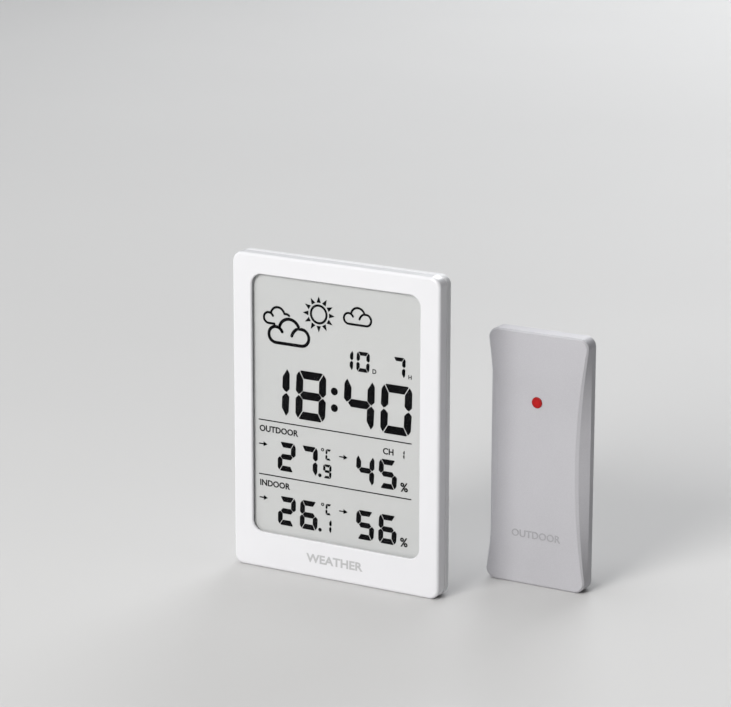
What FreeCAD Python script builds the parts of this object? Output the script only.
"""Tabletop weather station display with its wireless outdoor sensor, as one set.

Millimetres. Each unit is modelled in its own frame: X to the right, Y from its
front face towards its rear, Z up from the surface that it stands on, and X = 0
on its centre line. save() moves both units into the frame of the set, whose
origin is the middle of the set's footprint.
"""
import FreeCAD, Part
import math
import os

Vector = FreeCAD.Vector

# ---------------------------------------------------------------- driving sizes
# Clearances that both units share.
SEAT_GAP = 0.2            # loose fit of a piece that is laid into a pocket
CHUNK_GAP = 0.1           # slack between a cell and the floor of its bay
KEY_GAP = 0.3             # around a key in its opening
PIN_GAP = 0.08            # around a hinge pin
SCREW_GAP = 0.05          # around a screw's thread
MOUTH_BEVEL = 0.3         # bevel at an opening's edge

# AAA cells and their contacts.
CELL_RADIUS = 5.25
CELL_LENGTH = 44.5
CELL_NUB_RADIUS = 1.9
CELL_NUB_LENGTH = 0.8
CELL_SPACING = 1.0        # between two cells side by side
CONTACT_THICKNESS = 0.4
SPRING_LENGTH = 5.1
SPRING_WIRE_RADIUS = 0.3
SPRING_RADIUS = 2.9
SPRING_TURNS = 3

# Station: outer form.
STATION_WIDTH = 90.0
STATION_HEIGHT = 124.0
STATION_CORNER = 4.0
FACE_WALL = 2.2           # thickness of the bezel's face
WALL = 1.8                # thickness of every other outer wall
BEZEL_DEPTH = 5.2         # front face to the parting line
FRONT_ROUND = 1.2
SLAB_ROUND = 2.5          # rear edge of the thin outer part
HUMP_ROUND = 2.0          # rear edge of the thick middle part
HUMP_SIDE_INSET = 7.5
HUMP_TOP_INSET = 10.0
HUMP_DRAFT = 2.0
HUMP_CORNER = 6.0
PARTING_BEVEL = 0.3

# Station: display.
WINDOW_SIDE_MARGIN = 8.4
WINDOW_TOP_MARGIN = 7.6
WINDOW_BOTTOM_MARGIN = 14.4
WINDOW_CORNER = 4.5
WINDOW_RECESS = 1.0
LENS_OVERLAP = 1.4        # how far the lens reaches behind the bezel
GLASS_OVERLAP = 1.6
GLASS_THICKNESS = 1.0
GLASS_LEDGE = 4.2         # contact ledge below the rear glass
REFLECTOR_THICKNESS = 0.2
FRAME_WALL = 1.2
FRAME_RISE = 1.4          # blocks that carry the board behind the frame
BOARD_THICKNESS = 1.2
BOARD_TOP = 96.0
BOARD_SCREW_X = 30.0
BOARD_SCREW_RADIUS = 0.8
BOARD_SCREW_HEAD_RADIUS = 1.7

# Station: posts and screws that hold the two housings together.
POST_RADIUS = 2.2
POST_INSET = 4.2          # from the side wall's outer face
POST_END_INSET = 6.0      # from the top and the bottom
POST_REACH = 1.0          # past the parting line
BOSS_RADIUS = 2.8
SCREW_RADIUS = 0.95
SCREW_HEAD_RADIUS = 1.9
SCREW_HEAD_HEIGHT = 1.2
LIP_REACH = 1.2
LIP_THICKNESS = 0.8

# Station: fold-out foot.
FOOT_HALF_WIDTH = 15.8
FOOT_REACH = 33.7         # hinge axis to the centre of the rounded tip
FOOT_THICKNESS = 3.4
FOOT_KNUCKLE_RADIUS = 2.1
FOOT_SIDE_GAP = 0.4
FOOT_AXIS_HEIGHT = 5.0
FOOT_AXIS_INSET = 2.2     # hinge axis to the rear face
FOOT_RECESS_DEPTH = 4.8
FOOT_RECESS_WALL = 1.4
FOOT_FLOOR_GAP = 0.1
FOOT_TIP_GAP = 1.0
HINGE_PIN_RADIUS = 1.5
HINGE_PIN_LENGTH = 1.4

# Station: battery bay and its sliding cover.
BAY_WALL = 1.2
BAY_FLOOR = 1.0
BAY_RIB = 0.6
BAY_RIB_HEIGHT = 2.6
COVER_LEDGE = 1.4         # ledge under the cover
COVER_OVERLAP = 2.0       # cover past the bay on each side
COVER_TONGUE = 1.2
COVER_TONGUE_THICKNESS = 0.8
COVER_TRAVEL = 63.0

# Station: keys.
KEY_NAMES = ("snooze", "mode", "up", "down", "channel", "unit")
KEY_PITCH = 11.0
KEY_LENGTH = 8.0
KEY_WIDTH = 5.0
KEY_PROUD = 0.8
KEY_FLANGE = 1.0
KEY_FLANGE_THICKNESS = 1.3
KEY_STEM_RADIUS = 1.6
KEY_ROW_GAP = 11.4        # cover to the middle of the key row
KEY_TRAVEL = 0.4
SWITCH_SIZE = 6.0
SWITCH_HEIGHT = 3.5
PLUNGER_RADIUS = 1.75
PLUNGER_LENGTH = 2.2
PLUNGER_PROUD = 1.5

# Station: keyhole for a wall screw, above the key row.
KEYHOLE_RADIUS = 4.0
KEYHOLE_SLOT_HALF = 2.0
KEYHOLE_SLOT_RISE = 8.0
KEYHOLE_ROW_GAP = 16.0
KEYHOLE_POCKET_DEPTH = 5.0
KEYHOLE_POCKET_WALL = 1.2

# Station: vents.
VENT_LENGTH = 12.0
VENT_WIDTH = 1.6
VENT_PITCH = 4.5
VENT_COUNT = 6
VENT_X = 25.0
VENT_LOWEST = 12.0

# Sensor: outer form. Thin at its edges, with a thicker middle behind, like the display.
SENSOR_HEIGHT = 99.0
SENSOR_SIDE_ROOM = 8.2    # from the battery bay's walls to the outside
SENSOR_CORNER = 4.0
SENSOR_WALL = 1.5
SENSOR_PARTING = 3.6      # face to the parting line; the waist's hollow runs out there
SENSOR_SLAB_DEPTH = 7.8
SENSOR_SLAB_ROUND = 1.5
SENSOR_WAIST_DRAW = 3.9   # how far the face's sides curve in at mid height
SENSOR_FRONT_BEVEL = 0.6
SENSOR_HUMP_SIDE_INSET = 4.0
SENSOR_HUMP_TOP_INSET = 4.0
SENSOR_HUMP_DRAFT = 1.0
SENSOR_HUMP_ROUND = 1.5
SENSOR_LIP_REACH = 1.0
SENSOR_SIDE_GAP = 2.3     # between the two units, seen from the front
SENSOR_Y = 33.8           # face, behind the station's face

# Sensor: battery bay and cover.
SENSOR_BAY_FRONT = 3.2
SENSOR_BAY_LOW = 7.0      # inner end of the bay
SENSOR_COVER_THICKNESS = 1.3
SENSOR_COVER_GAP = 0.4    # cells to cover
SENSOR_COVER_SIDE = 2.4   # cover opening past the bay
SENSOR_COVER_TOP = 73.0
SENSOR_SEAT = 1.2         # ring that the cover rests on
SENSOR_SEAT_FLOOR = 1.4
SENSOR_PANEL_TOP = 70.8   # control panel above the bay
SENSOR_PANEL_DEPTH = 11.0
SENSOR_PANEL_FLOOR = 1.0
COVER_SCREW_HEIGHT = 67.9
COVER_SCREW_RADIUS = 0.8
COVER_SCREW_HEAD_RADIUS = 1.7

# Sensor: board and what stands on it.
SENSOR_BOARD_HALF = 15.0
SENSOR_BOARD_LOW = 60.0
SENSOR_BOARD_HIGH = 92.0
SENSOR_BOARD_DEPTH = 5.0
SENSOR_BOARD_THICKNESS = 1.2
SENSOR_TOP_POST_X = 12.6
SENSOR_TOP_POST_Z = 89.0
HOOK_X = 8.0              # two hooks hold the shells together at the bottom
HOOK_HALF_WIDTH = 2.0
HOOK_THICKNESS = 0.8
HOOK_BARB = 0.6
SENSOR_POST_RADIUS = 2.4
LED_HEIGHT = 72.2
LED_RADIUS = 1.5
LED_LENS_RADIUS = 2.15
LED_LENS_PROUD = 0.35
CONTROL_X = 5.5
CONTROL_HEIGHT = 64.4
SLIDER_TRAVEL = 2.0
SLIDER_SIZE = 2.0
SEND_RADIUS = 1.6
SEND_TRAVEL = 0.3
SENSOR_KEYHOLE_RADIUS = 3.5
SENSOR_KEYHOLE_SLOT_HALF = 1.75
SENSOR_KEYHOLE_HEIGHT = 82.0
SENSOR_KEYHOLE_RISE = 6.0
SENSOR_VENT_X = 10.2
SENSOR_VENT_LENGTH = 6.0
SENSOR_VENT_WIDTH = 1.3
SENSOR_VENT_COUNT = 4
SENSOR_VENT_PITCH = 2.6
SENSOR_VENT_LOWEST = 76.0

GRIP_COUNT = 5
GRIP_PITCH = 2.4
GRIP_RADIUS = 0.5

# ------------------------------------------------- places that follow from them
HALF_WIDTH = STATION_WIDTH / 2

# Depths in the station, from the face to the rear.
LENS_REAR = FACE_WALL - SEAT_GAP
GLASS_JOINT = FACE_WALL + GLASS_THICKNESS
REFLECTOR_FRONT = GLASS_JOINT + GLASS_THICKNESS
FRAME_FLOOR = REFLECTOR_FRONT + REFLECTOR_THICKNESS
FRAME_REAR = FRAME_FLOOR + FRAME_WALL
BOARD_FRONT = FRAME_REAR + FRAME_RISE
BOARD_REAR = BOARD_FRONT + BOARD_THICKNESS
SLAB_DEPTH = BOARD_REAR + WALL
BAY_FRONT = BOARD_REAR + SEAT_GAP
BAY_DEPTH = BAY_FRONT + BAY_FLOOR
CELL_DEPTH = BAY_DEPTH + CHUNK_GAP + CELL_RADIUS
HUMP_INSIDE = CELL_DEPTH + CELL_RADIUS + SEAT_GAP
STATION_DEPTH = HUMP_INSIDE + WALL
POST_END = BEZEL_DEPTH + POST_REACH
SCREW_SEAT = SLAB_DEPTH - SCREW_HEAD_HEIGHT

# The foot and its hinge.
HINGE_Y = STATION_DEPTH - FOOT_AXIS_INSET
FOOT_DROP = FOOT_AXIS_HEIGHT - FOOT_THICKNESS / 2 - FOOT_FLOOR_GAP
FOOT_TILT = math.degrees(math.asin(FOOT_DROP / FOOT_REACH))
RECESS_HALF = FOOT_HALF_WIDTH + FOOT_SIDE_GAP
RECESS_TOP = FOOT_AXIS_HEIGHT + FOOT_REACH + FOOT_THICKNESS / 2 + FOOT_TIP_GAP
RECESS_FLOOR = STATION_DEPTH - FOOT_RECESS_DEPTH
FOOT_TIP_REAR = HINGE_Y + FOOT_REACH * math.cos(math.radians(FOOT_TILT)) + FOOT_THICKNESS / 2

# The battery bay stands on the foot's recess, then the keys and the keyhole.
CELL_OFFSET = CELL_RADIUS + CELL_SPACING / 2
BAY_HALF_LENGTH = (CELL_LENGTH + SPRING_LENGTH) / 2 + CONTACT_THICKNESS
BAY_HALF_HEIGHT = CELL_OFFSET + CELL_RADIUS + 2 * SEAT_GAP
COVER_HALF_HEIGHT = BAY_HALF_HEIGHT + COVER_OVERLAP
SEAT_HALF_HEIGHT = COVER_HALF_HEIGHT + COVER_TONGUE + COVER_TONGUE_THICKNESS
BAY_HEIGHT = RECESS_TOP + FOOT_RECESS_WALL + SEAT_HALF_HEIGHT
COVER_END = BAY_HALF_LENGTH + COVER_OVERLAP
KEY_HEIGHT = BAY_HEIGHT + COVER_HALF_HEIGHT + KEY_ROW_GAP
KEYHOLE_HEIGHT = KEY_HEIGHT + KEYHOLE_ROW_GAP

# The sensor, from its face to its rear.
SENSOR_BAY_HALF = BAY_HALF_HEIGHT
SENSOR_HALF = SENSOR_BAY_HALF + BAY_WALL + SENSOR_SIDE_ROOM
SENSOR_X = HALF_WIDTH + SENSOR_SIDE_GAP + SENSOR_HALF
SENSOR_OPENING_HALF = SENSOR_BAY_HALF + SENSOR_COVER_SIDE
SENSOR_OPENING_LOW = SENSOR_BAY_LOW - SENSOR_COVER_SIDE
SENSOR_BAY_DEPTH = SENSOR_BAY_FRONT + BAY_FLOOR
SENSOR_CELL_DEPTH = SENSOR_BAY_DEPTH + CHUNK_GAP + CELL_RADIUS
SENSOR_COVER_FRONT = SENSOR_CELL_DEPTH + CELL_RADIUS + SENSOR_COVER_GAP
SENSOR_DEPTH = SENSOR_COVER_FRONT + SENSOR_COVER_THICKNESS
SENSOR_BAY_HIGH = SENSOR_BAY_LOW + 2 * BAY_HALF_LENGTH
SENSOR_BOARD_REAR = SENSOR_BOARD_DEPTH + SENSOR_BOARD_THICKNESS
SENSOR_PANEL_FRONT = SENSOR_PANEL_DEPTH - SENSOR_PANEL_FLOOR
SENSOR_SEAT_DEPTH = SENSOR_COVER_FRONT - SEAT_GAP

# Origin of the set: the middle of its footprint, on the surface it stands on.
SET_X = (SENSOR_X + SENSOR_HALF - HALF_WIDTH) / 2
SET_Y = max(FOOT_TIP_REAR, SENSOR_Y + SENSOR_DEPTH) / 2


# ------------------------------------------------------------------ basic solids
def box(x_span, y_span, z_span):
    """A block between three (low, high) pairs."""
    sizes = [high - low for low, high in (x_span, y_span, z_span)]
    return Part.makeBox(*sizes, Vector(x_span[0], y_span[0], z_span[0]))


def rod_x(y, z, radius, left, right):
    """A cylinder along X."""
    return Part.makeCylinder(radius, right - left, Vector(left, y, z), Vector(1, 0, 0))


def rod_y(x, z, radius, front, rear):
    """A cylinder along Y."""
    return Part.makeCylinder(radius, rear - front, Vector(x, front, z), Vector(0, 1, 0))


def rod_z(x, y, radius, low, high):
    """A cylinder along Z."""
    return Part.makeCylinder(radius, high - low, Vector(x, y, low), Vector(0, 0, 1))


def obround(x, z, length, width, front, rear):
    """A bar along X with round ends, through a wall that faces along Y."""
    reach = (length - width) / 2
    middle = box((x - reach, x + reach), (front, rear), (z - width / 2, z + width / 2))
    ends = [rod_y(x + side * reach, z, width / 2, front, rear) for side in (-1, 1)]
    return middle.multiFuse(ends).removeSplitter()


def outline(half, low, high, corner, y, draw=0.0):
    """A rounded rectangle across Y; draw pulls the middle of its two long sides inwards."""
    bend = corner * (1 - math.sqrt(0.5))
    middle = (low + high) / 2
    corners = [
        (Vector(half - corner, y, low), Vector(half - bend, y, low + bend), Vector(half, y, low + corner)),
        (Vector(half, y, high - corner), Vector(half - bend, y, high - bend), Vector(half - corner, y, high)),
        (Vector(corner - half, y, high), Vector(bend - half, y, high - bend), Vector(-half, y, high - corner)),
        (Vector(-half, y, low + corner), Vector(bend - half, y, low + bend), Vector(corner - half, y, low)),
    ]
    side_middles = (half - draw, None, draw - half, None)
    edges = []
    for index, (start, through, end) in enumerate(corners):
        following = corners[(index + 1) % 4][0]
        edges.append(Part.Arc(start, through, end).toShape())
        if draw and side_middles[index] is not None:
            side = Part.Arc(end, Vector(side_middles[index], y, middle), following)
        else:
            side = Part.LineSegment(end, following)
        edges.append(side.toShape())
    return Part.Wire(edges)


def panel(half, low, high, corner, front, rear):
    """A rounded plate centred on X = 0, between two depths."""
    face = Part.Face(outline(half, low, high, corner, front))
    return face.extrude(Vector(0, rear - front, 0))


def frustum(front_outline, rear_outline):
    """A solid with straight walls between two outlines."""
    return Part.makeLoft([front_outline, rear_outline], True, True)


def edges_at(shape, y):
    """The edges that lie at one depth."""
    spans = [(edge, edge.BoundBox.YMin, edge.BoundBox.YMax) for edge in shape.Edges]
    return [edge for edge, near, far in spans if abs(near - y) < 0.02 and abs(far - y) < 0.02]


def fused(first, *others):
    """One solid from pieces that meet."""
    return first.multiFuse(list(others)).removeSplitter()


def without(shape, *tools):
    """The shape with every tool cut away."""
    return shape.cut(list(tools)).removeSplitter()


def coil(x, y, low, radius, wire_radius, pitch, height):
    """A wire coil that stands along Z. Its twelve-sided section meshes closed; a round one may not."""
    helix = Part.makeHelix(pitch, height, radius)
    start = helix.Edges[0].valueAt(helix.Edges[0].FirstParameter)
    heading = helix.Edges[0].tangentAt(helix.Edges[0].FirstParameter)
    ring = Part.Circle(start, heading, wire_radius)
    corners = [ring.value(math.pi * k / 6) for k in range(12)]
    section = Part.makePolygon(corners + [corners[0]])
    turns = Part.Wire(helix.Edges).makePipeShell([section], True, True)
    turns.translate(Vector(x, y, low))
    return turns


# ------------------------------------------------------------- station: main forms
def slab_outline(inset, y):
    """The station's outer outline, or the same one inside its walls."""
    corner = max(STATION_CORNER - inset, 1.0)
    return outline(HALF_WIDTH - inset, inset, STATION_HEIGHT - inset, corner, y)


def slab(inset, front, rear):
    """A plate with the station's outline."""
    return Part.Face(slab_outline(inset, front)).extrude(Vector(0, rear - front, 0))


def hump_outline(inset, y):
    """The thick middle part's outline at one depth; it narrows towards the rear."""
    taper = HUMP_DRAFT * (y - SLAB_DEPTH) / (STATION_DEPTH - SLAB_DEPTH)
    half = HALF_WIDTH - HUMP_SIDE_INSET - taper - inset
    top = STATION_HEIGHT - HUMP_TOP_INSET - taper - inset
    return outline(half, inset, top, HUMP_CORNER - inset, y)


def hump():
    """The outer form of the thick middle part, from inside the slab to the rear face."""
    body = frustum(hump_outline(0, SLAB_DEPTH - SLAB_ROUND), hump_outline(0, STATION_DEPTH))
    return body.makeFillet(HUMP_ROUND, edges_at(body, STATION_DEPTH))


def post_places():
    """X and Z of the six posts."""
    x = HALF_WIDTH - POST_INSET
    heights = (POST_END_INSET, STATION_HEIGHT / 2, STATION_HEIGHT - POST_END_INSET)
    return [(side * x, z) for side in (-1, 1) for z in heights]


def window_panel(grow, front, rear):
    """The window's outline, grown or shrunk, between two depths."""
    half = HALF_WIDTH - WINDOW_SIDE_MARGIN + grow
    low = WINDOW_BOTTOM_MARGIN - grow
    high = STATION_HEIGHT - WINDOW_TOP_MARGIN + grow
    return panel(half, low, high, WINDOW_CORNER + grow, front, rear)


def window_mouth():
    """The bevel round the window's front edge."""
    half = HALF_WIDTH - WINDOW_SIDE_MARGIN
    high = STATION_HEIGHT - WINDOW_TOP_MARGIN
    low = WINDOW_BOTTOM_MARGIN
    wide = outline(half + MOUTH_BEVEL, low - MOUTH_BEVEL, high + MOUTH_BEVEL, WINDOW_CORNER + MOUTH_BEVEL, 0)
    return frustum(wide, outline(half, low, high, WINDOW_CORNER, MOUTH_BEVEL))


def front_bezel():
    """Glossy front housing with the window and six screw posts."""
    shell = slab(0, 0, BEZEL_DEPTH)
    shell = shell.makeFillet(FRONT_ROUND, edges_at(shell, 0))
    shell = shell.makeChamfer(PARTING_BEVEL, edges_at(shell, BEZEL_DEPTH))
    shell = shell.cut(slab(WALL, FACE_WALL, BEZEL_DEPTH))
    posts = [rod_y(x, z, POST_RADIUS, FACE_WALL, POST_END) for x, z in post_places()]
    shell = fused(shell, *posts)
    pilots = [rod_y(x, z, SCREW_RADIUS + SCREW_GAP, FACE_WALL + 0.8, POST_END) for x, z in post_places()]
    window = window_panel(0, 0, FACE_WALL)
    rebate = window_panel(LENS_OVERLAP, WINDOW_RECESS, FACE_WALL)
    return without(shell, window, rebate, window_mouth(), *pilots)


# ---------------------------------------------------------------- station: display
DISPLAY_HALF = HALF_WIDTH - WINDOW_SIDE_MARGIN + GLASS_OVERLAP
DISPLAY_TOP = STATION_HEIGHT - WINDOW_TOP_MARGIN + GLASS_OVERLAP + 1.0
DISPLAY_LOW = WINDOW_BOTTOM_MARGIN - 0.8
FRAME_HALF = DISPLAY_HALF + SEAT_GAP + FRAME_WALL + 0.3
FRAME_LOW = DISPLAY_LOW - GLASS_LEDGE - 1.4
FRAME_HIGH = DISPLAY_TOP + SEAT_GAP + FRAME_WALL + 0.2
BOARD_HALF = HALF_WIDTH - POST_INSET - BOSS_RADIUS - 0.5
ZEBRA_HALF = DISPLAY_HALF - 2.2
ZEBRA_LOW = DISPLAY_LOW - GLASS_LEDGE + 0.8
ZEBRA_HIGH = DISPLAY_LOW - 1.0
LOW_BLOCK_TOP = ZEBRA_HIGH + 5.4
TOP_BLOCK_LOW = BOARD_TOP - 6.0


def display_window():
    """Clear lens laid into the bezel from behind."""
    return window_panel(LENS_OVERLAP - SEAT_GAP / 2, WINDOW_RECESS, LENS_REAR)


def lcd_glass_front():
    """Front glass of the display; its lower ledge carries the contacts."""
    low = DISPLAY_LOW - GLASS_LEDGE
    return box((-DISPLAY_HALF, DISPLAY_HALF), (FACE_WALL, GLASS_JOINT), (low, DISPLAY_TOP))


def lcd_glass_rear():
    """Rear glass of the display."""
    return box((-DISPLAY_HALF, DISPLAY_HALF), (GLASS_JOINT, REFLECTOR_FRONT), (DISPLAY_LOW, DISPLAY_TOP))


def lcd_reflector():
    """Grey reflective sheet behind the glass."""
    half = DISPLAY_HALF - 0.6
    return box((-half, half), (REFLECTOR_FRONT, FRAME_FLOOR), (DISPLAY_LOW + 0.4, DISPLAY_TOP - 0.4))


def zebra_strip():
    """Striped rubber connector between the glass ledge and the board."""
    return box((-ZEBRA_HALF, ZEBRA_HALF), (GLASS_JOINT, BOARD_FRONT), (ZEBRA_LOW, ZEBRA_HIGH))


def board_screw_places():
    """X and Z of the four screws that hold the board to the display frame."""
    heights = (LOW_BLOCK_TOP - 2.4, BOARD_TOP - 3.0)
    return [(side * BOARD_SCREW_X, z) for side in (-1, 1) for z in heights]


def lcd_frame():
    """Frame that holds the glass against the bezel and carries the board."""
    tray = box((-FRAME_HALF, FRAME_HALF), (FACE_WALL, FRAME_REAR), (FRAME_LOW, FRAME_HIGH))
    low_block = box((-BOARD_HALF, BOARD_HALF), (FRAME_REAR, BOARD_FRONT), (FRAME_LOW, LOW_BLOCK_TOP))
    top_block = box((-BOARD_HALF, BOARD_HALF), (FRAME_REAR, BOARD_FRONT), (TOP_BLOCK_LOW, BOARD_TOP))
    pocket_half = DISPLAY_HALF + SEAT_GAP
    pocket_span = (DISPLAY_LOW - GLASS_LEDGE - SEAT_GAP, DISPLAY_TOP + SEAT_GAP)
    pocket = box((-pocket_half, pocket_half), (FACE_WALL, FRAME_FLOOR), pocket_span)
    slot_half = ZEBRA_HALF + SEAT_GAP
    slot_span = (ZEBRA_LOW - SEAT_GAP, ZEBRA_HIGH + SEAT_GAP)
    slot = box((-slot_half, slot_half), (FACE_WALL, BOARD_FRONT), slot_span)
    notches = [rod_y(x, z, POST_RADIUS + KEY_GAP, FACE_WALL, BOARD_FRONT) for x, z in post_places()]
    pilot = BOARD_SCREW_RADIUS + SCREW_GAP
    pilots = [rod_y(x, z, pilot, FRAME_REAR - 0.6, BOARD_FRONT) for x, z in board_screw_places()]
    return without(fused(tray, low_block, top_block), pocket, slot, *notches, *pilots)


def main_board():
    """Circuit board behind the display frame."""
    board = box((-BOARD_HALF, BOARD_HALF), (BOARD_FRONT, BOARD_REAR), (FRAME_LOW + 0.4, BOARD_TOP))
    pilot = BOARD_SCREW_RADIUS + 2 * SCREW_GAP
    holes = [rod_y(x, z, pilot, BOARD_FRONT, BOARD_REAR) for x, z in board_screw_places()]
    return without(board, *holes)


def screw(x, z, radius, head_radius, tip, seat, head_height, recess_radius):
    """A pan-head screw that points forwards, with a hex recess in its head."""
    shank = rod_y(x, z, radius, tip, seat)
    head = rod_y(x, z, head_radius, seat, seat + head_height)
    recess = Part.makePolygon([
        Vector(x + recess_radius * math.cos(math.radians(turn)), seat + head_height / 2,
               z + recess_radius * math.sin(math.radians(turn)))
        for turn in range(0, 361, 60)
    ])
    socket = Part.Face(recess).extrude(Vector(0, head_height, 0))
    return without(fused(shank, head), socket)


def board_screws():
    """Four small screws through the board into the display frame."""
    tip = FRAME_REAR - 0.4
    return Part.makeCompound([
        screw(x, z, BOARD_SCREW_RADIUS, BOARD_SCREW_HEAD_RADIUS, tip, BOARD_REAR, 1.0, 0.7)
        for x, z in board_screw_places()
    ])


# ------------------------------------------------------- station: parts on the board
def main_chip():
    """Controller under a low epoxy dome."""
    radius = 7.0
    height = 1.6
    dome = rod_y(0, 30.0, radius, BOARD_REAR, BOARD_REAR + height)
    return dome.makeFillet(height * 0.8, edges_at(dome, BOARD_REAR + height))


def quartz_crystal():
    """Clock crystal lying on the board."""
    can = rod_x(BOARD_REAR + 1.0, 40.0, 1.0, 9.0, 15.0)
    return can.makeFillet(0.3, [edge for edge in can.Edges if edge.Length > 6.0 and len(edge.Vertexes) == 1])


def board_capacitors():
    """Two small electrolytic capacitors."""
    return Part.makeCompound([rod_y(x, 22.0, 2.0, BOARD_REAR, BOARD_REAR + 6.0) for x in (9.0, 14.5)])


def buzzer():
    """Alarm sounder, with its sound hole."""
    can = rod_y(VENT_X, VENT_X, 6.0, BOARD_REAR, BOARD_REAR + 5.0)
    hole = rod_y(VENT_X, VENT_X, 1.2, BOARD_REAR + 3.0, BOARD_REAR + 5.0)
    return without(can, hole)


def climate_sensor():
    """Indoor temperature and humidity element behind the left vents, with its open grid."""
    half = 4.0
    x_span = (-VENT_X - half, -VENT_X + half)
    case = box(x_span, (BOARD_REAR, BOARD_REAR + 4.0), (VENT_X - half, VENT_X + half))
    rows = [
        obround(-VENT_X, VENT_X + offset, 5.6, 0.9, BOARD_REAR + 1.2, BOARD_REAR + 4.0)
        for offset in (-2.2, 0.0, 2.2)
    ]
    return without(case, *rows)


RECEIVER_LOW = KEY_HEIGHT + 8.0


def receiver_module():
    """Small radio board that stands on the main board."""
    return box((-27.5, -9.5), (BOARD_REAR, BOARD_REAR + 10.0), (RECEIVER_LOW, RECEIVER_LOW + 1.2))


def antenna_coil():
    """Coil aerial on the radio board."""
    return coil(-18.5, BOARD_REAR + 5.0, RECEIVER_LOW + 1.2 + 0.4, 2.5, 0.4, 1.6, 14.4)


def key_places():
    """Name and X of each key, from left to right."""
    first = -KEY_PITCH * (len(KEY_NAMES) - 1) / 2
    return [(name, first + KEY_PITCH * index) for index, name in enumerate(KEY_NAMES)]


SWITCH_TOP = BOARD_REAR + SWITCH_HEIGHT
PLUNGER_END = SWITCH_TOP + PLUNGER_PROUD
KEY_FLANGE_REAR = HUMP_INSIDE - 0.1


def key_switches():
    """Six switch bodies on the board, each with the well of its plunger."""
    half = SWITCH_SIZE / 2
    well_floor = PLUNGER_END - PLUNGER_LENGTH - KEY_TRAVEL - SEAT_GAP
    switches = []
    for _, x in key_places():
        body = box((x - half, x + half), (BOARD_REAR, SWITCH_TOP), (KEY_HEIGHT - half, KEY_HEIGHT + half))
        well = rod_y(x, KEY_HEIGHT, PLUNGER_RADIUS + 0.1, well_floor, SWITCH_TOP)
        switches.append(without(body, well))
    return Part.makeCompound(switches)


def key_plunger(x):
    """The moving part of one switch."""
    return rod_y(x, KEY_HEIGHT, PLUNGER_RADIUS, PLUNGER_END - PLUNGER_LENGTH, PLUNGER_END)


def key_cap(x):
    """One key: its cap, the flange that keeps it in, and the stem that meets the switch."""
    top = STATION_DEPTH + KEY_PROUD
    cap = obround(x, KEY_HEIGHT, KEY_LENGTH, KEY_WIDTH, KEY_FLANGE_REAR - 0.5, top)
    cap = cap.makeFillet(0.5, edges_at(cap, top))
    length = KEY_LENGTH + 2 * KEY_FLANGE
    width = KEY_WIDTH + 2 * KEY_FLANGE
    flange_front = KEY_FLANGE_REAR - KEY_FLANGE_THICKNESS
    flange = obround(x, KEY_HEIGHT, length, width, flange_front, KEY_FLANGE_REAR)
    stem = rod_y(x, KEY_HEIGHT, KEY_STEM_RADIUS, PLUNGER_END + 0.1, flange_front)
    return fused(cap, flange, stem)


# ------------------------------------------------------------ station: rear housing
def housing_lip():
    """Lip that locates the rear housing in the bezel, with its root ring."""
    lip = slab(WALL + SEAT_GAP, BEZEL_DEPTH - LIP_REACH, BEZEL_DEPTH)
    root = slab(WALL - SEAT_GAP, BEZEL_DEPTH, BEZEL_DEPTH + LIP_REACH)
    inside = slab(WALL + SEAT_GAP + LIP_THICKNESS, BEZEL_DEPTH - LIP_REACH, BEZEL_DEPTH + LIP_REACH)
    notches = [
        rod_y(x, z, POST_RADIUS + KEY_GAP, BEZEL_DEPTH - LIP_REACH, BEZEL_DEPTH + LIP_REACH)
        for x, z in post_places()
    ]
    return without(fused(lip, root), inside, *notches)


def battery_bay_walls():
    """Bay for two cells, with the ledge that the cover slides on."""
    outer_half = BAY_HALF_LENGTH + BAY_WALL
    outer_span = (BAY_HEIGHT - BAY_HALF_HEIGHT - BAY_WALL, BAY_HEIGHT + BAY_HALF_HEIGHT + BAY_WALL)
    tub = box((-outer_half, outer_half), (BAY_FRONT, HUMP_INSIDE), outer_span)
    seat_span = (BAY_HEIGHT - SEAT_HALF_HEIGHT, BAY_HEIGHT + SEAT_HALF_HEIGHT)
    seat = box((-HALF_WIDTH, COVER_END + 1.2), (HUMP_INSIDE - COVER_LEDGE, HUMP_INSIDE), seat_span)
    return fused(tub, seat.common(hump()))


def battery_bay_space():
    """What the bay and its contacts need to be open."""
    bay_span = (BAY_HEIGHT - BAY_HALF_HEIGHT, BAY_HEIGHT + BAY_HALF_HEIGHT)
    bay = box((-BAY_HALF_LENGTH, BAY_HALF_LENGTH), (BAY_DEPTH, HUMP_INSIDE), bay_span)
    rib_span = (BAY_HEIGHT - BAY_RIB / 2, BAY_HEIGHT + BAY_RIB / 2)
    rib = box((-BAY_HALF_LENGTH, BAY_HALF_LENGTH), (BAY_DEPTH, BAY_DEPTH + BAY_RIB_HEIGHT), rib_span)
    slots = [
        box((BAY_HALF_LENGTH, BAY_HALF_LENGTH + BAY_WALL), (TAB_Y - 0.6, TAB_Y + 0.6), (z - 0.4, z + 0.4))
        for z in cell_heights()
    ]
    return fused(without(bay, rib), *slots)


def cover_opening():
    """Opening and grooves of the sliding cover, open at the left side of the housing."""
    x_span = (-HALF_WIDTH, COVER_END + SEAT_GAP)
    half = COVER_HALF_HEIGHT
    opening = box(x_span, (HUMP_INSIDE, STATION_DEPTH), (BAY_HEIGHT - half, BAY_HEIGHT + half))
    groove_half = half + COVER_TONGUE
    groove_rear = HUMP_INSIDE + SEAT_GAP + COVER_TONGUE_THICKNESS + 0.1
    groove_span = (BAY_HEIGHT - groove_half, BAY_HEIGHT + groove_half)
    return fused(opening, box(x_span, (HUMP_INSIDE, groove_rear), groove_span))


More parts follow.
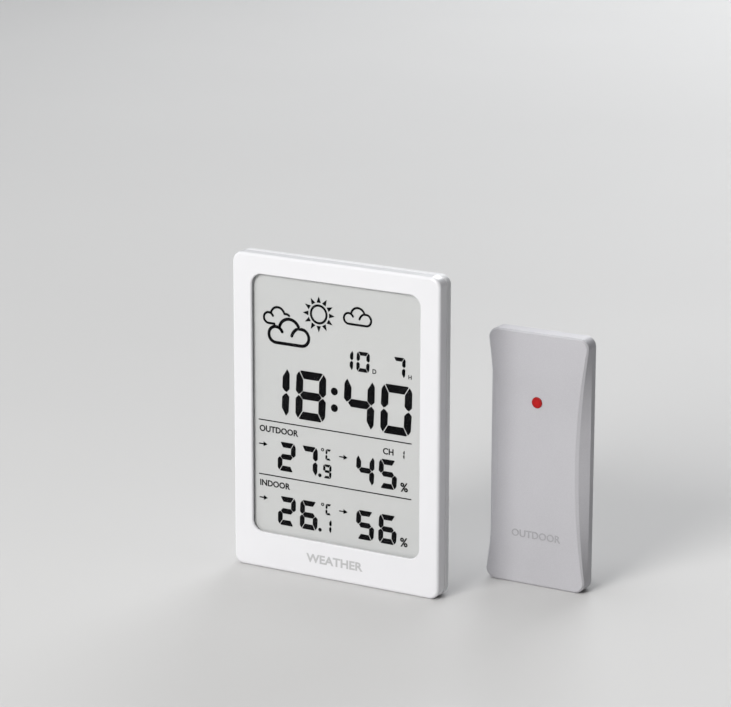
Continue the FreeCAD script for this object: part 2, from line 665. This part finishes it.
def foot_recess_walls():
    """Walls round the recess that takes the folded foot."""
    half = RECESS_HALF + FOOT_RECESS_WALL
    front = RECESS_FLOOR - FOOT_RECESS_WALL
    return box((-half, half), (front, STATION_DEPTH), (0, RECESS_TOP + FOOT_RECESS_WALL)).common(hump())


def foot_recess_space():
    """The recess itself, with the two blind holes for the hinge pins."""
    recess = box((-RECESS_HALF, RECESS_HALF), (RECESS_FLOOR, STATION_DEPTH + 1), (-1, RECESS_TOP))
    reach = FOOT_HALF_WIDTH + HINGE_PIN_LENGTH + PIN_GAP
    holes = rod_x(HINGE_Y, FOOT_AXIS_HEIGHT, HINGE_PIN_RADIUS + PIN_GAP, -reach, reach)
    return fused(recess, holes)


def keyhole_pocket(wall):
    """Pocket behind the keyhole, or its walls."""
    half = KEYHOLE_RADIUS + 1.0 + wall
    low = KEYHOLE_HEIGHT - KEYHOLE_RADIUS - 0.2 - wall
    high = KEYHOLE_HEIGHT + KEYHOLE_SLOT_RISE + KEYHOLE_SLOT_HALF + 0.3 + wall
    front = HUMP_INSIDE - KEYHOLE_POCKET_DEPTH - wall
    return box((-half, half), (front, HUMP_INSIDE), (low, high))


def keyhole_opening():
    """Round entry and narrow slot through the rear wall."""
    top = KEYHOLE_HEIGHT + KEYHOLE_SLOT_RISE
    half = KEYHOLE_SLOT_HALF
    entry = rod_y(0, KEYHOLE_HEIGHT, KEYHOLE_RADIUS, HUMP_INSIDE, STATION_DEPTH)
    slot = box((-half, half), (HUMP_INSIDE, STATION_DEPTH), (KEYHOLE_HEIGHT, top))
    return fused(entry, slot, rod_y(0, top, half, HUMP_INSIDE, STATION_DEPTH))


def vent_slots():
    """Two columns of vents low on the rear face."""
    heights = [VENT_LOWEST + VENT_PITCH * row for row in range(VENT_COUNT)]
    return [
        obround(side * VENT_X, z, VENT_LENGTH, VENT_WIDTH, HUMP_INSIDE, STATION_DEPTH)
        for side in (-1, 1) for z in heights
    ]


def key_openings():
    """Openings for the six keys."""
    length = KEY_LENGTH + 2 * KEY_GAP
    width = KEY_WIDTH + 2 * KEY_GAP
    return [obround(x, KEY_HEIGHT, length, width, HUMP_INSIDE, STATION_DEPTH) for _, x in key_places()]


def rear_housing():
    """Rear housing: thin edge, thick middle, battery bay, foot recess, keys, keyhole and vents."""
    edge = slab(0, BEZEL_DEPTH, SLAB_DEPTH)
    edge = edge.makeFillet(SLAB_ROUND, edges_at(edge, SLAB_DEPTH))
    edge = edge.makeChamfer(PARTING_BEVEL, edges_at(edge, BEZEL_DEPTH))
    form = fused(edge, hump())
    thick = frustum(hump_outline(WALL, BEZEL_DEPTH), hump_outline(WALL, HUMP_INSIDE))
    bosses = [rod_y(x, z, BOSS_RADIUS, POST_END, SLAB_DEPTH) for x, z in post_places()]
    walls = [battery_bay_walls(), foot_recess_walls(), keyhole_pocket(KEYHOLE_POCKET_WALL)]
    cavity = without(fused(slab(WALL, BEZEL_DEPTH, SLAB_DEPTH - WALL), thick), *bosses, *walls)
    shell = fused(without(form, cavity), housing_lip())
    holes = [rod_y(x, z, SCREW_RADIUS + SEAT_GAP, POST_END, SLAB_DEPTH) for x, z in post_places()]
    heads = [rod_y(x, z, SCREW_HEAD_RADIUS + SEAT_GAP, SCREW_SEAT, SLAB_DEPTH) for x, z in post_places()]
    spaces = [battery_bay_space(), cover_opening(), foot_recess_space(), keyhole_pocket(0), keyhole_opening()]
    return without(shell, *spaces, *holes, *heads, *vent_slots(), *key_openings())


def housing_screws():
    """Six screws that hold the two housings together."""
    return Part.makeCompound([
        screw(x, z, SCREW_RADIUS, SCREW_HEAD_RADIUS, FACE_WALL + 1.2, SCREW_SEAT, SCREW_HEAD_HEIGHT, 0.9)
        for x, z in post_places()
    ])


def battery_cover():
    """Cover that slides off to the left, with a tongue along each edge and a ribbed thumb grip."""
    front = HUMP_INSIDE + SEAT_GAP
    half = COVER_HALF_HEIGHT - SEAT_GAP
    plate = box((-HALF_WIDTH, COVER_END), (front, STATION_DEPTH), (BAY_HEIGHT - half, BAY_HEIGHT + half))
    tongue_half = half + COVER_TONGUE
    tongue_span = (BAY_HEIGHT - tongue_half, BAY_HEIGHT + tongue_half)
    tongues = box((-HALF_WIDTH, COVER_END), (front, front + COVER_TONGUE_THICKNESS), tongue_span)
    cover = fused(plate, tongues).common(hump())
    ribs = [
        rod_z(-COVER_END + 4.0 + GRIP_PITCH * index, STATION_DEPTH, GRIP_RADIUS, BAY_HEIGHT - 7.0, BAY_HEIGHT + 7.0)
        for index in range(GRIP_COUNT)
    ]
    return fused(cover, *ribs)


# -------------------------------------------------------- station: cells and contacts
TAB_Y = CELL_DEPTH - 1.5
TAB_END = BAY_HALF_LENGTH + BAY_WALL + 1.6
LEAD_RADIUS = 0.5
LEAD_BEND = 3.0
LEAD_STUB = 0.4


def cell_heights():
    """Z of the lower and the upper cell."""
    return (BAY_HEIGHT - CELL_OFFSET, BAY_HEIGHT + CELL_OFFSET)


def cell(start, direction):
    """An AAA cell from its flat end to its raised contact."""
    body_length = CELL_LENGTH - CELL_NUB_LENGTH
    body = Part.makeCylinder(CELL_RADIUS, body_length, start, direction)
    body = body.makeFillet(0.4, [edge for edge in body.Edges if len(edge.Vertexes) == 1])
    nub_start = start + direction * body_length
    return fused(body, Part.makeCylinder(CELL_NUB_RADIUS, CELL_NUB_LENGTH, nub_start, direction))


def station_cells():
    """Two AAA cells that lie side by side, pointing opposite ways."""
    inner = BAY_HALF_LENGTH - CONTACT_THICKNESS - SPRING_LENGTH
    low, high = cell_heights()
    lower = cell(Vector(inner, CELL_DEPTH, low), Vector(-1, 0, 0))
    upper = cell(Vector(-inner, CELL_DEPTH, high), Vector(1, 0, 0))
    return Part.makeCompound([lower, upper])


def contact_bridge():
    """Plate that joins the two cells at the bay's left end."""
    low = BAY_HEIGHT - BAY_HALF_HEIGHT + 1.0
    high = BAY_HEIGHT + BAY_HALF_HEIGHT - 1.0
    x_span = (-BAY_HALF_LENGTH, CONTACT_THICKNESS - BAY_HALF_LENGTH)
    return box(x_span, (BAY_DEPTH + BAY_RIB_HEIGHT + SEAT_GAP, HUMP_INSIDE - 1.0), (low, high))


def contact_terminals():
    """The two plates at the bay's right end, each with a tab through the wall."""
    half = CELL_RADIUS - 0.8
    plates = []
    for z in cell_heights():
        y_span = (BAY_DEPTH + 1.0, HUMP_INSIDE - 1.0)
        plate = box((BAY_HALF_LENGTH - CONTACT_THICKNESS, BAY_HALF_LENGTH), y_span, (z - half, z + half))
        tab = box((BAY_HALF_LENGTH, TAB_END), (TAB_Y - 0.5, TAB_Y + 0.5), (z - 0.2, z + 0.2))
        plates.append(fused(plate, tab))
    return Part.makeCompound(plates)


def contact_spring(seat, direction):
    """A coil spring between a contact plate and a cell's flat end."""
    rise = SPRING_LENGTH - 2 * SPRING_WIRE_RADIUS - 0.1
    spring = coil(0, 0, 0, SPRING_RADIUS, SPRING_WIRE_RADIUS, rise / SPRING_TURNS, rise)
    turn = FreeCAD.Rotation(Vector(0, 0, 1), direction)
    spring.Placement = FreeCAD.Placement(seat + direction * (SPRING_WIRE_RADIUS + 0.05), turn)
    return spring


def contact_springs():
    """One spring at the flat end of each cell."""
    plate = BAY_HALF_LENGTH - CONTACT_THICKNESS
    low, high = cell_heights()
    lower = contact_spring(Vector(plate, CELL_DEPTH, low), Vector(-1, 0, 0))
    upper = contact_spring(Vector(-plate, CELL_DEPTH, high), Vector(1, 0, 0))
    return Part.makeCompound([lower, upper])


def battery_lead(z):
    """Insulated wire from a terminal's tab round to the board."""
    bend_end = TAB_END + LEAD_STUB + LEAD_BEND
    slant = LEAD_BEND * math.sqrt(0.5)
    start = Vector(TAB_END, TAB_Y, z)
    bend_start = Vector(TAB_END + LEAD_STUB, TAB_Y, z)
    through = Vector(bend_end - LEAD_BEND + slant, TAB_Y - LEAD_BEND + slant, z)
    turned = Vector(bend_end, TAB_Y - LEAD_BEND, z)
    foot = Vector(bend_end, BOARD_REAR, z)
    path = Part.Wire([
        Part.LineSegment(start, bend_start).toShape(),
        Part.Arc(bend_start, through, turned).toShape(),
        Part.LineSegment(turned, foot).toShape(),
    ])
    section = Part.Wire([Part.makeCircle(LEAD_RADIUS, start, Vector(1, 0, 0))])
    return path.makePipeShell([section], True, False)


def stand_foot():
    """Rear foot, modelled open: a flat plate with a rounded tip, a knuckle and two hinge pins."""
    half = FOOT_HALF_WIDTH
    thick = FOOT_THICKNESS / 2
    plate = box((-half, half), (0, FOOT_REACH), (-thick, thick))
    knuckle = rod_x(0, 0, FOOT_KNUCKLE_RADIUS, -half, half)
    tip = rod_x(FOOT_REACH, 0, thick, -half, half)
    pins = rod_x(0, 0, HINGE_PIN_RADIUS, -half - HINGE_PIN_LENGTH, half + HINGE_PIN_LENGTH)
    grip = [box((-6, 6), (FOOT_REACH - 3 - 2 * index, FOOT_REACH - 2 - 2 * index), (thick - 0.4, thick + 1))
            for index in range(3)]
    foot = without(fused(plate, knuckle, tip, pins), *grip)
    foot.Placement = FreeCAD.Placement(
        Vector(0, HINGE_Y, FOOT_AXIS_HEIGHT), FreeCAD.Rotation(Vector(1, 0, 0), -FOOT_TILT))
    return foot


# ---------------------------------------------------------------- sensor: main forms
def sensor_outline(inset, y):
    """The front shell's outline at one depth: waisted at the face, straight at the parting line."""
    draw = SENSOR_WAIST_DRAW * (1 - y / SENSOR_PARTING)
    return outline(SENSOR_HALF - inset, inset, SENSOR_HEIGHT - inset, SENSOR_CORNER - inset, y, draw)


def sensor_slab(inset, front, rear):
    """A plate with the sensor's straight outline."""
    corner = max(SENSOR_CORNER - inset, 0.8)
    return panel(SENSOR_HALF - inset, inset, SENSOR_HEIGHT - inset, corner, front, rear)


def sensor_hump_outline(inset, y):
    """The sensor's thick middle at one depth; it narrows towards the rear."""
    taper = SENSOR_HUMP_DRAFT * (y - SENSOR_SLAB_DEPTH) / (SENSOR_DEPTH - SENSOR_SLAB_DEPTH)
    half = SENSOR_HALF - SENSOR_HUMP_SIDE_INSET - taper - inset
    top = SENSOR_HEIGHT - SENSOR_HUMP_TOP_INSET - taper - inset
    return outline(half, inset, top, SENSOR_CORNER - inset, y)


def sensor_post_places():
    """X and Z of the two screw posts."""
    return [(side * SENSOR_TOP_POST_X, SENSOR_TOP_POST_Z) for side in (-1, 1)]


def hook_spans():
    """X span of each of the two hooks."""
    return [(side * HOOK_X - HOOK_HALF_WIDTH, side * HOOK_X + HOOK_HALF_WIDTH) for side in (-1, 1)]


SENSOR_LIP_INSET = (SENSOR_WALL + 0.1 + SENSOR_WAIST_DRAW * SENSOR_LIP_REACH / SENSOR_PARTING + SEAT_GAP)
CATCH_HEIGHT = SENSOR_LIP_INSET - SEAT_GAP    # top of the ribs that the hooks pass over
CATCH_SPAN = (SENSOR_WALL + 1.0, SENSOR_WALL + 1.6)


def sensor_front_shell():
    """Waisted front shell with the lamp's hole, two screw posts and two catch ribs."""
    bevel = SENSOR_FRONT_BEVEL
    face = outline(SENSOR_HALF - bevel, bevel, SENSOR_HEIGHT - bevel, SENSOR_CORNER - bevel, 0, SENSOR_WAIST_DRAW)
    edge = frustum(face, sensor_outline(0, bevel))
    form = fused(edge, frustum(sensor_outline(0, bevel), sensor_outline(0, SENSOR_PARTING)))
    inset = SENSOR_WALL + 0.1
    shell = form.cut(frustum(sensor_outline(inset, SENSOR_WALL), sensor_outline(inset, SENSOR_PARTING)))
    posts = [
        rod_y(x, z, SENSOR_POST_RADIUS, SENSOR_WALL, SENSOR_BOARD_DEPTH) for x, z in sensor_post_places()
    ]
    catches = [box(span, CATCH_SPAN, (SENSOR_WALL, CATCH_HEIGHT)) for span in hook_spans()]
    shell = fused(shell, *posts, *catches)
    pilots = [
        rod_y(x, z, SCREW_RADIUS + SCREW_GAP, SENSOR_WALL + 0.7, SENSOR_BOARD_DEPTH)
        for x, z in sensor_post_places()
    ]
    hole = rod_y(0, LED_HEIGHT, LED_LENS_RADIUS + SCREW_GAP, 0, SENSOR_WALL)
    return without(shell, hole, *pilots)


def sensor_bay_walls():
    """Battery bay, control panel and the ring that the cover rests on."""
    wall = BAY_WALL
    half = SENSOR_BAY_HALF + wall
    tub = box((-half, half), (SENSOR_BAY_FRONT, SENSOR_SEAT_DEPTH), (SENSOR_BAY_LOW - wall, SENSOR_BAY_HIGH + wall))
    control = box((-half, half), (SENSOR_PANEL_FRONT, SENSOR_SEAT_DEPTH), (SENSOR_BAY_HIGH, SENSOR_PANEL_TOP + wall))
    ring_half = SENSOR_OPENING_HALF + 1.0
    ring_span = (SENSOR_OPENING_LOW - 0.8, SENSOR_COVER_TOP + 0.8)
    ring = box((-ring_half, ring_half), (SENSOR_SEAT_DEPTH - SENSOR_SEAT_FLOOR, SENSOR_SEAT_DEPTH), ring_span)
    return fused(tub, control, ring)


def sensor_bay_nose():
    """The front of the battery bay, which reaches into the front shell."""
    half = SENSOR_BAY_HALF + BAY_WALL
    z_span = (SENSOR_BAY_LOW - BAY_WALL, SENSOR_BAY_HIGH + BAY_WALL)
    return box((-half, half), (SENSOR_BAY_FRONT, SENSOR_PARTING + SEAT_GAP), z_span)


def sensor_keyhole_pocket(wall):
    """Pocket behind the sensor's keyhole, or its walls."""
    half = SENSOR_KEYHOLE_RADIUS + 1.0 + wall
    low = SENSOR_KEYHOLE_HEIGHT - SENSOR_KEYHOLE_RADIUS - 0.4 - wall
    high = SENSOR_KEYHOLE_HEIGHT + SENSOR_KEYHOLE_RISE + SENSOR_KEYHOLE_SLOT_HALF + 0.3 + wall
    return box((-half, half), (SENSOR_PANEL_DEPTH - wall, SENSOR_DEPTH - SENSOR_WALL), (low, high))


def sensor_keyhole_opening():
    """Round entry and narrow slot through the sensor's rear wall."""
    top = SENSOR_KEYHOLE_HEIGHT + SENSOR_KEYHOLE_RISE
    half = SENSOR_KEYHOLE_SLOT_HALF
    y_span = (SENSOR_DEPTH - SENSOR_WALL, SENSOR_DEPTH)
    entry = rod_y(0, SENSOR_KEYHOLE_HEIGHT, SENSOR_KEYHOLE_RADIUS, *y_span)
    slot = box((-half, half), y_span, (SENSOR_KEYHOLE_HEIGHT, top))
    return fused(entry, slot, rod_y(0, top, half, *y_span))


def sensor_bay_space():
    """What the bay, the control panel and the cover need to be open."""
    half = SENSOR_BAY_HALF
    bay = box((-half, half), (SENSOR_BAY_DEPTH, SENSOR_SEAT_DEPTH), (SENSOR_BAY_LOW, SENSOR_BAY_HIGH))
    rib_span = (SENSOR_BAY_DEPTH, SENSOR_BAY_DEPTH + BAY_RIB_HEIGHT)
    rib = box((-BAY_RIB / 2, BAY_RIB / 2), rib_span, (SENSOR_BAY_LOW, SENSOR_BAY_HIGH))
    control_span = (SENSOR_BAY_HIGH + BAY_WALL, SENSOR_PANEL_TOP)
    control = box((-half, half), (SENSOR_PANEL_DEPTH, SENSOR_SEAT_DEPTH), control_span)
    boss = rod_y(0, COVER_SCREW_HEIGHT, 2.0, SENSOR_PANEL_DEPTH, SENSOR_COVER_FRONT - 0.9)
    pilot = rod_y(0, COVER_SCREW_HEIGHT, COVER_SCREW_RADIUS + SCREW_GAP, SENSOR_PANEL_DEPTH + 0.3, SENSOR_SEAT_DEPTH)
    opening_half = SENSOR_OPENING_HALF
    opening_span = (SENSOR_OPENING_LOW, SENSOR_COVER_TOP)
    opening = box((-opening_half, opening_half), (SENSOR_SEAT_DEPTH, SENSOR_DEPTH), opening_span)
    return fused(without(bay, rib), without(control, boss), pilot, opening)


def sensor_control_openings():
    """Slot of the channel slider and hole of the send button, through the control panel."""
    length = 2 * (SLIDER_TRAVEL + SLIDER_SIZE / 2 + SEAT_GAP)
    width = SLIDER_SIZE + 2 * SEAT_GAP
    y_span = (SENSOR_PANEL_FRONT, SENSOR_PANEL_DEPTH)
    x_span = (-CONTROL_X - length / 2, -CONTROL_X + length / 2)
    slot = box(x_span, y_span, (CONTROL_HEIGHT - width / 2, CONTROL_HEIGHT + width / 2))
    hole = rod_y(CONTROL_X, CONTROL_HEIGHT, SEND_RADIUS + SEAT_GAP, *y_span)
    return [slot, hole]


def sensor_vents():
    """Vents on both sides of the keyhole."""
    heights = [SENSOR_VENT_LOWEST + SENSOR_VENT_PITCH * row for row in range(SENSOR_VENT_COUNT)]
    return [
        obround(side * SENSOR_VENT_X, z, SENSOR_VENT_LENGTH, SENSOR_VENT_WIDTH, SENSOR_DEPTH - SENSOR_WALL,
                SENSOR_DEPTH)
        for side in (-1, 1) for z in heights
    ]


def sensor_lip():
    """Lip that locates the rear shell in the front one, with two hooks at the bottom."""
    front = SENSOR_PARTING - SENSOR_LIP_REACH
    lip = sensor_slab(SENSOR_LIP_INSET, front, SENSOR_PARTING)
    root = sensor_slab(SENSOR_WALL - SEAT_GAP, SENSOR_PARTING, SENSOR_PARTING + SENSOR_LIP_REACH)
    inside = sensor_slab(SENSOR_LIP_INSET + LIP_THICKNESS, front, SENSOR_PARTING + SENSOR_LIP_REACH)
    hooks = []
    for span in hook_spans():
        low = SENSOR_LIP_INSET
        barb_rear = CATCH_SPAN[0] - SEAT_GAP
        arm = box(span, (barb_rear - 0.4, front + 0.2), (low, low + HOOK_THICKNESS))
        barb = box(span, (barb_rear - 0.4, barb_rear), (low - HOOK_BARB, low))
        hooks.append(fused(arm, barb))
    return fused(lip.cut(inside), root.cut(inside), *hooks)


def sensor_rear_shell():
    """Rear shell: thin edge, thick middle with the battery bay, control panel, keyhole and vents."""
    edge = sensor_slab(0, SENSOR_PARTING, SENSOR_SLAB_DEPTH)
    edge = edge.makeFillet(SENSOR_SLAB_ROUND, edges_at(edge, SENSOR_SLAB_DEPTH))
    start = SENSOR_SLAB_DEPTH - SENSOR_SLAB_ROUND
    hump_form = frustum(sensor_hump_outline(0, start), sensor_hump_outline(0, SENSOR_DEPTH))
    hump_form = hump_form.makeFillet(SENSOR_HUMP_ROUND, edges_at(hump_form, SENSOR_DEPTH))
    wall = SENSOR_WALL
    thick = frustum(sensor_hump_outline(wall, SENSOR_PARTING), sensor_hump_outline(wall, SENSOR_DEPTH - wall))
    thin = sensor_slab(wall, SENSOR_PARTING, SENSOR_SLAB_DEPTH - wall)
    bosses = [
        rod_y(x, z, SENSOR_POST_RADIUS, SENSOR_BOARD_REAR, SENSOR_DEPTH) for x, z in sensor_post_places()
    ]
    pocket = sensor_keyhole_pocket(SENSOR_PANEL_FLOOR)
    cavity = without(fused(thin, thick), sensor_bay_walls(), pocket, *bosses)
    shell = fused(without(fused(edge, hump_form), cavity), sensor_bay_nose(), sensor_lip())
    holes = []
    for x, z in sensor_post_places():
        holes.append(rod_y(x, z, SCREW_RADIUS + SEAT_GAP, SENSOR_BOARD_REAR, SENSOR_DEPTH))
        holes.append(rod_y(x, z, SCREW_HEAD_RADIUS + 0.1, SENSOR_PANEL_FRONT, SENSOR_DEPTH))
    spaces = [sensor_bay_space(), sensor_keyhole_pocket(0), sensor_keyhole_opening()]
    return without(shell, *spaces, *sensor_control_openings(), *sensor_vents(), *holes)


def sensor_battery_cover():
    """Lift-off rear cover with a screw eye and grip ribs."""
    half = SENSOR_OPENING_HALF - SEAT_GAP
    span = (SENSOR_OPENING_LOW + SEAT_GAP, SENSOR_COVER_TOP - SEAT_GAP)
    plate = panel(half, span[0], span[1], 1.0, SENSOR_COVER_FRONT, SENSOR_DEPTH)
    pad = rod_y(0, COVER_SCREW_HEIGHT, 2.6, SENSOR_COVER_FRONT - 0.8, SENSOR_COVER_FRONT)
    ribs = [
        rod_x(SENSOR_DEPTH, span[0] + 3.0 + GRIP_PITCH * index, GRIP_RADIUS, -7.0, 7.0)
        for index in range(GRIP_COUNT)
    ]
    hole = rod_y(0, COVER_SCREW_HEIGHT, COVER_SCREW_RADIUS + SEAT_GAP, SENSOR_COVER_FRONT - 0.8, SENSOR_DEPTH)
    well = rod_y(0, COVER_SCREW_HEIGHT, COVER_SCREW_HEAD_RADIUS + SEAT_GAP, SENSOR_COVER_FRONT + 0.3, SENSOR_DEPTH)
    return without(fused(plate, pad, *ribs), hole, well)


def sensor_cover_screw():
    """Captive screw of the rear cover."""
    seat = SENSOR_COVER_FRONT + 0.3
    tip = SENSOR_PANEL_DEPTH + 0.6
    return screw(0, COVER_SCREW_HEIGHT, COVER_SCREW_RADIUS, COVER_SCREW_HEAD_RADIUS, tip, seat, 0.9, 0.8)


def sensor_shell_screws():
    """Two screws that hold the sensor's shells together at the top."""
    return Part.makeCompound([
        screw(x, z, SCREW_RADIUS, SCREW_HEAD_RADIUS, SENSOR_WALL + 1.1, SENSOR_PANEL_FRONT, SCREW_HEAD_HEIGHT, 0.9)
        for x, z in sensor_post_places()
    ])


# ---------------------------------------------------------- sensor: cells and contacts
def sensor_cells():
    """Two AAA cells that stand side by side, pointing opposite ways."""
    low = SENSOR_BAY_LOW + CONTACT_THICKNESS
    high = SENSOR_BAY_HIGH - CONTACT_THICKNESS
    left = cell(Vector(-CELL_OFFSET, SENSOR_CELL_DEPTH, low + SPRING_LENGTH), Vector(0, 0, 1))
    right = cell(Vector(CELL_OFFSET, SENSOR_CELL_DEPTH, high - SPRING_LENGTH), Vector(0, 0, -1))
    return Part.makeCompound([left, right])


def sensor_plates():
    """Contact plates: a bridge at the bottom and two terminals at the top."""
    half = SENSOR_BAY_HALF - 0.6
    y_span = (SENSOR_BAY_DEPTH + BAY_RIB_HEIGHT + SEAT_GAP, SENSOR_SEAT_DEPTH - 1.0)
    bridge = box((-half, half), y_span, (SENSOR_BAY_LOW, SENSOR_BAY_LOW + CONTACT_THICKNESS))
    top_span = (SENSOR_BAY_HIGH - CONTACT_THICKNESS, SENSOR_BAY_HIGH)
    plate_half = CELL_RADIUS - 0.8
    tops = [
        box((side * CELL_OFFSET - plate_half, side * CELL_OFFSET + plate_half), y_span, top_span)
        for side in (-1, 1)
    ]
    return Part.makeCompound([bridge, *tops])


def sensor_springs():
    """One spring at the flat end of each cell."""
    low = SENSOR_BAY_LOW + CONTACT_THICKNESS
    high = SENSOR_BAY_HIGH - CONTACT_THICKNESS
    left = contact_spring(Vector(-CELL_OFFSET, SENSOR_CELL_DEPTH, low), Vector(0, 0, 1))
    right = contact_spring(Vector(CELL_OFFSET, SENSOR_CELL_DEPTH, high), Vector(0, 0, -1))
    return Part.makeCompound([left, right])


# ----------------------------------------------------------- sensor: board and controls
def sensor_board():
    """Circuit board held between the posts and the rear shell's bosses."""
    z_span = (SENSOR_BOARD_LOW, SENSOR_BOARD_HIGH)
    board = box((-SENSOR_BOARD_HALF, SENSOR_BOARD_HALF), (SENSOR_BOARD_DEPTH, SENSOR_BOARD_REAR), z_span)
    holes = [
        rod_y(side * SENSOR_TOP_POST_X, SENSOR_TOP_POST_Z, SCREW_RADIUS + SEAT_GAP, SENSOR_BOARD_DEPTH,
              SENSOR_BOARD_REAR)
        for side in (-1, 1)
    ]
    return without(board, *holes)


def sensor_chip():
    """Controller of the sensor."""
    return box((-3.5, 3.5), (SENSOR_BOARD_REAR, SENSOR_BOARD_REAR + 1.0), (72.5, 79.5))


def sensor_transmitter():
    """Radio module under the keyhole pocket."""
    return box((-8.5, 2.0), (SENSOR_BOARD_REAR, SENSOR_BOARD_REAR + 2.0), (82.0, 91.0))


def sensor_antenna():
    """Small coil aerial that stands on the board."""
    return coil(6.4, SENSOR_BOARD_REAR + 1.9, 80.5, 1.6, 0.3, 1.3, 9.1)


def sensor_humidity_element():
    """Temperature and humidity element with an open grid."""
    case = box((9.0, 14.0), (SENSOR_BOARD_REAR, SENSOR_BOARD_REAR + 3.0), (73.0, 79.0))
    rows = [
        obround(11.5, z, 3.4, 0.7, SENSOR_BOARD_REAR + 1.0, SENSOR_BOARD_REAR + 3.0) for z in (74.5, 76.0, 77.5)
    ]
    return without(case, *rows)


def sensor_led():
    """Signal lamp on the front of the board."""
    body = rod_y(0, LED_HEIGHT, LED_RADIUS, SENSOR_WALL + 0.1 + LED_RADIUS, SENSOR_BOARD_DEPTH)
    tip = Part.makeSphere(LED_RADIUS, Vector(0, SENSOR_WALL + 0.1 + LED_RADIUS, LED_HEIGHT))
    return fused(body, tip)


def sensor_led_lens():
    """Clear red window in front of the lamp, slightly domed."""
    lens = rod_y(0, LED_HEIGHT, LED_LENS_RADIUS, -LED_LENS_PROUD, SENSOR_WALL)
    return lens.makeFillet(LED_LENS_PROUD * 0.9, edges_at(lens, -LED_LENS_PROUD))


SLIDE_SWITCH_HEIGHT = 2.8
SEND_SWITCH_HEIGHT = 2.8


def channel_switch_body():
    """Body of the three-position channel switch, with its open track."""
    half_length = 4.3
    half_width = 1.8
    x_span = (-CONTROL_X - half_length, -CONTROL_X + half_length)
    rear = SENSOR_BOARD_REAR + SLIDE_SWITCH_HEIGHT
    body = box(x_span, (SENSOR_BOARD_REAR, rear), (CONTROL_HEIGHT - half_width, CONTROL_HEIGHT + half_width))
    reach = SLIDER_TRAVEL + SLIDER_SIZE / 2 + SEAT_GAP
    track_half = SLIDER_SIZE / 2 + SEAT_GAP
    track_span = (CONTROL_HEIGHT - track_half, CONTROL_HEIGHT + track_half)
    track = box((-CONTROL_X - reach, -CONTROL_X + reach), (rear - 1.2, rear), track_span)
    return without(body, track)


def channel_slider():
    """Knob of the channel switch."""
    half = SLIDER_SIZE / 2
    front = SENSOR_BOARD_REAR + SLIDE_SWITCH_HEIGHT - 1.0
    x_span = (-CONTROL_X - half, -CONTROL_X + half)
    return box(x_span, (front, SENSOR_PANEL_DEPTH + 1.4), (CONTROL_HEIGHT - half, CONTROL_HEIGHT + half))


def send_switch_body():
    """Body of the send button's switch."""
    half = SWITCH_SIZE / 2 - 0.6
    rear = SENSOR_BOARD_REAR + SEND_SWITCH_HEIGHT
    x_span = (CONTROL_X - half, CONTROL_X + half)
    body = box(x_span, (SENSOR_BOARD_REAR, rear), (CONTROL_HEIGHT - half, CONTROL_HEIGHT + half))
    return without(body, rod_y(CONTROL_X, CONTROL_HEIGHT, SEND_RADIUS + 0.1, rear - 1.2, rear))


def send_button():
    """Button that makes the sensor send at once."""
    front = SENSOR_BOARD_REAR + SEND_SWITCH_HEIGHT - 0.8
    top = SENSOR_PANEL_DEPTH + 1.0
    button = rod_y(CONTROL_X, CONTROL_HEIGHT, SEND_RADIUS, front, top)
    return button.makeFillet(0.3, edges_at(button, top))


# ------------------------------------------------------------------------- the set
STATION_PIECES = {
    "front_bezel": front_bezel,
    "display_window": display_window,
    "lcd_glass_front": lcd_glass_front,
    "lcd_glass_rear": lcd_glass_rear,
    "lcd_reflector": lcd_reflector,
    "zebra_strip": zebra_strip,
    "lcd_frame": lcd_frame,
    "main_board": main_board,
    "board_screws": board_screws,
    "main_chip": main_chip,
    "quartz_crystal": quartz_crystal,
    "board_capacitors": board_capacitors,
    "buzzer": buzzer,
    "climate_sensor": climate_sensor,
    "receiver_module": receiver_module,
    "antenna_coil": antenna_coil,
    "key_switches": key_switches,
    "rear_housing": rear_housing,
    "housing_screws": housing_screws,
    "battery_cover": battery_cover,
    "station_cells": station_cells,
    "contact_bridge": contact_bridge,
    "contact_terminals": contact_terminals,
    "contact_springs": contact_springs,
    "stand_foot": stand_foot,
}

SENSOR_PIECES = {
    "sensor_front_shell": sensor_front_shell,
    "sensor_rear_shell": sensor_rear_shell,
    "sensor_battery_cover": sensor_battery_cover,
    "sensor_cover_screw": sensor_cover_screw,
    "sensor_shell_screws": sensor_shell_screws,
    "sensor_cells": sensor_cells,
    "sensor_plates": sensor_plates,
    "sensor_springs": sensor_springs,
    "sensor_board": sensor_board,
    "sensor_chip": sensor_chip,
    "sensor_transmitter": sensor_transmitter,
    "sensor_antenna": sensor_antenna,
    "sensor_humidity_element": sensor_humidity_element,
    "sensor_led": sensor_led,
    "sensor_led_lens": sensor_led_lens,
    "channel_switch_body": channel_switch_body,
    "channel_slider": channel_slider,
    "send_switch_body": send_switch_body,
    "send_button": send_button,
}


def save(name, shape, x, y):
    """Write one piece, moved from its unit's frame into the set's."""
    placed = shape.copy()
    placed.translate(Vector(x - SET_X, y - SET_Y, 0))
    placed.exportStep(os.path.join("parts", name + ".step"))


def build_set():
    """Write every piece of the set."""
    os.makedirs("parts", exist_ok=True)
    for name, make in STATION_PIECES.items():
        save(name, make(), 0, 0)
    for name, x in key_places():
        save("key_" + name, key_cap(x), 0, 0)
        save("plunger_" + name, key_plunger(x), 0, 0)
    low, high = cell_heights()
    save("battery_lead_black", battery_lead(low), 0, 0)
    save("battery_lead_red", battery_lead(high), 0, 0)
    for name, make in SENSOR_PIECES.items():
        save(name, make(), SENSOR_X, SENSOR_Y)
    print("battery lead bend radius", LEAD_BEND, "mm on a", 2 * LEAD_RADIUS, "mm lead")


build_set()
